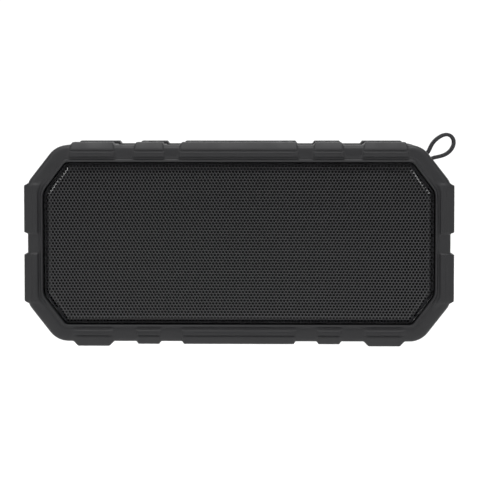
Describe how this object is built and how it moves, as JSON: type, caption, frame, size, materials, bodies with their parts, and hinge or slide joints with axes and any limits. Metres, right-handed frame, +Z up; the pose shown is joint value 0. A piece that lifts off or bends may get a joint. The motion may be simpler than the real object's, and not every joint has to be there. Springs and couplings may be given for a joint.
{
  "type": "portable shower speaker",
  "caption": "Rugged octagonal portable speaker with a perforated metal grille, rubber bumpers, top buttons and a hanging strap.",
  "frame": {"origin": "centre of the footprint on the surface the feet rest on", "axes": "+Z up, -Y out of the grille, +X to the right seen from the front"},
  "size_m": [0.177, 0.052, 0.0867],
  "materials": {
    "bumper_rubber": "matt",
    "housing_plastic": "matt",
    "grille_steel": "satin",
    "acoustic_cloth": "matt",
    "inner_plastic": "satin",
    "seal_rubber": "matt",
    "cone_paper": "matt",
    "steel": "satin",
    "ferrite": "matt",
    "circuit_board": "satin",
    "battery_wrap": "gloss",
    "strap_weave": "matt",
    "clear_plastic": "gloss"
  },
  "bodies": {
    "case": {"front_frame": "bumper_rubber", "rear_frame": "bumper_rubber", "centre_housing": "housing_plastic", "back_panel": "housing_plastic", "grille": "grille_steel", "acoustic_cloth": "acoustic_cloth", "left_spider": "acoustic_cloth", "right_spider": "acoustic_cloth", "front_baffle": "inner_plastic", "radiator_frame": "inner_plastic", "aux_socket": "inner_plastic", "lower_battery_clamp": "inner_plastic", "upper_battery_clamp": "inner_plastic", "front_gasket": "seal_rubber", "rear_gasket": "seal_rubber", "left_surround": "seal_rubber", "right_surround": "seal_rubber", "radiator_surround": "seal_rubber", "port_cover_hinge": "seal_rubber", "power_switch": "steel", "volume_down_switch": "steel", "volume_up_switch": "steel", "play_switch": "steel", "microphone": "steel", "left_basket": "steel", "right_basket": "steel", "usb_socket": "steel", "amplifier_heat_sink": "steel", "radio_module": "steel", "case_screw_1": "steel", "case_screw_2": "steel", "case_screw_3": "steel", "case_screw_4": "steel", "case_screw_5": "steel", "case_screw_6": "steel", "strap_pin": "steel", "left_motor": "ferrite", "right_motor": "ferrite", "key_board": "circuit_board", "main_board": "circuit_board", "battery_pack": "battery_wrap", "status_lens": "clear_plastic"},
    "power_button": {"power_button": "bumper_rubber"},
    "volume_down_button": {"volume_down_button": "bumper_rubber"},
    "volume_up_button": {"volume_up_button": "bumper_rubber"},
    "play_button": {"play_button": "bumper_rubber"},
    "left_cone": {"left_cone": "cone_paper", "left_dust_cap": "cone_paper", "left_voice_coil": "steel"},
    "right_cone": {"right_cone": "cone_paper", "right_dust_cap": "cone_paper", "right_voice_coil": "steel"},
    "radiator_plate": {"radiator_plate": "steel"},
    "port_cover": {"port_cover": "seal_rubber"},
    "hanging_strap": {"hanging_strap": "strap_weave"}
  },
  "joints": [
    {"name": "press_power", "type": "slide", "parent": "case", "child": "power_button", "axis": [0, 0, -1], "range_m": [0, 0.0006], "stiffness_N_per_m": 2500},
    {"name": "press_volume_down", "type": "slide", "parent": "case", "child": "volume_down_button", "axis": [0, 0, -1], "range_m": [0, 0.0006], "stiffness_N_per_m": 2500},
    {"name": "press_volume_up", "type": "slide", "parent": "case", "child": "volume_up_button", "axis": [0, 0, -1], "range_m": [0, 0.0006], "stiffness_N_per_m": 2500},
    {"name": "press_play", "type": "slide", "parent": "case", "child": "play_button", "axis": [0, 0, -1], "range_m": [0, 0.0006], "stiffness_N_per_m": 2500},
    {"name": "left_cone_stroke", "type": "slide", "parent": "case", "child": "left_cone", "axis": [0, -1, 0], "range_m": [-0.0015, 0.0015], "stiffness_N_per_m": 2000},
    {"name": "right_cone_stroke", "type": "slide", "parent": "case", "child": "right_cone", "axis": [0, -1, 0], "range_m": [-0.0015, 0.0015], "stiffness_N_per_m": 2000},
    {"name": "radiator_stroke", "type": "slide", "parent": "case", "child": "radiator_plate", "axis": [0, 1, 0], "range_m": [-0.002, 0.002], "stiffness_N_per_m": 1500},
    {"name": "port_cover_swing", "type": "hinge", "parent": "case", "child": "port_cover", "pos_m": [-0.056, 0.0244, 0.0358], "axis": [-1, 0, 0], "range_deg": [0, 120]},
    {"name": "strap_swing", "type": "hinge", "parent": "case", "child": "hanging_strap", "pos_m": [0.0752, 0, 0.0744], "axis": [0, 1, 0], "range_deg": [-35, 35]}
  ]
}
